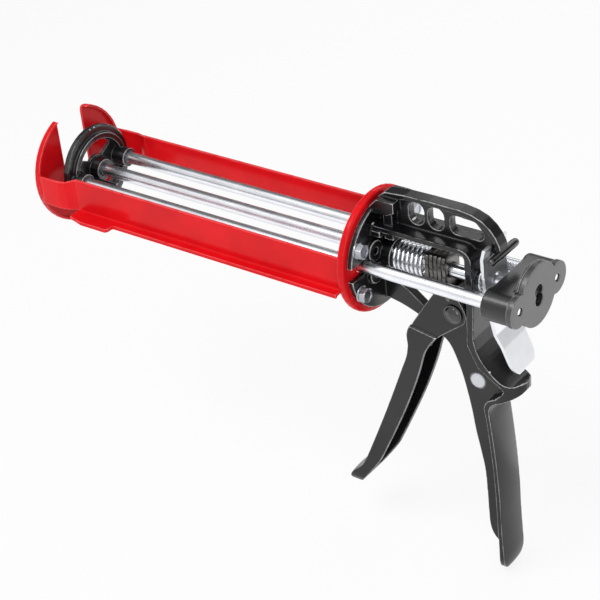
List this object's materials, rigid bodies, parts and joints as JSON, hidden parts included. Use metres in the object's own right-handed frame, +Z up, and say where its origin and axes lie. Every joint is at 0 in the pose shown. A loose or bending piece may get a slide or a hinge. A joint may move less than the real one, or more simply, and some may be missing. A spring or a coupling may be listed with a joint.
{
  "type": "caulking gun",
  "caption": "Hand caulking gun with a red half-open cartridge cradle, chrome push rods, a black cast body, a squeeze trigger and a thumb release plate.",
  "frame": {"origin": "the palm's place on the fixed handle, on the gun's middle plane, 110 mm below the rods", "axes": "+X backwards along the rods, away from the nozzle; +Y to the gun's right; +Z up"},
  "size_m": [0.3483, 0.092, 0.2459],
  "materials": {
    "red_paint": "gloss",
    "black_enamel": "gloss",
    "black_oxide": "satin",
    "chrome": "polished",
    "zinc": "satin",
    "pale_plug": "satin"
  },
  "bodies": {
    "frame": {"front_yoke": "red_paint", "left_rail": "red_paint", "right_rail": "red_paint", "rear_ring": "red_paint", "body_casting": "black_enamel", "flange_bolt_upper_left": "zinc", "flange_bolt_upper_right": "zinc", "flange_bolt_lower_left": "zinc", "flange_bolt_lower_right": "zinc", "rear_bush": "zinc", "handle_plug": "pale_plug", "pivot_bolt": "black_oxide", "pivot_nut": "black_oxide", "main_spring": "zinc", "release_spring": "zinc"},
    "plunger": {"pusher": "black_oxide", "left_rod": "chrome", "centre_rod": "chrome", "right_rod": "chrome", "rear_yoke": "black_enamel", "yoke_plate": "black_enamel"},
    "trigger_lever": {"trigger": "black_enamel", "trigger_roller": "zinc"},
    "drive_stack": {"drive_plate_1": "zinc", "drive_plate_2": "zinc", "drive_plate_3": "zinc", "drive_plate_4": "zinc", "drive_plate_5": "zinc"},
    "release_lever": {"release_plate": "zinc"}
  },
  "joints": [
    {"name": "plunger_slide", "type": "slide", "parent": "frame", "child": "plunger", "axis": [1, 0, 0], "range_m": [0, 0.19]},
    {"name": "trigger_pull", "type": "hinge", "parent": "frame", "child": "trigger_lever", "pos_m": [-0.0213, 0, 0.0874], "axis": [0, -1, 0], "range_deg": [0, 25], "stiffness_Nm_per_rad": 1, "springref_deg": -11.46},
    {"name": "drive_feed", "type": "slide", "parent": "frame", "child": "drive_stack", "axis": [-1, 0, 0], "range_m": [0, 0.0045], "deforming": ["main_spring"]},
    {"name": "release_tilt", "type": "hinge", "parent": "frame", "child": "release_lever", "pos_m": [0.0038, 0, 0.134], "axis": [0, 1, 0], "range_deg": [0, 7], "stiffness_Nm_per_rad": 0.5, "springref_deg": -5.73, "deforming": ["release_spring"]}
  ],
  "couplings": [
    {"joint": "drive_feed", "follows": "trigger_pull", "m_per_rad": 0.0094}
  ]
}
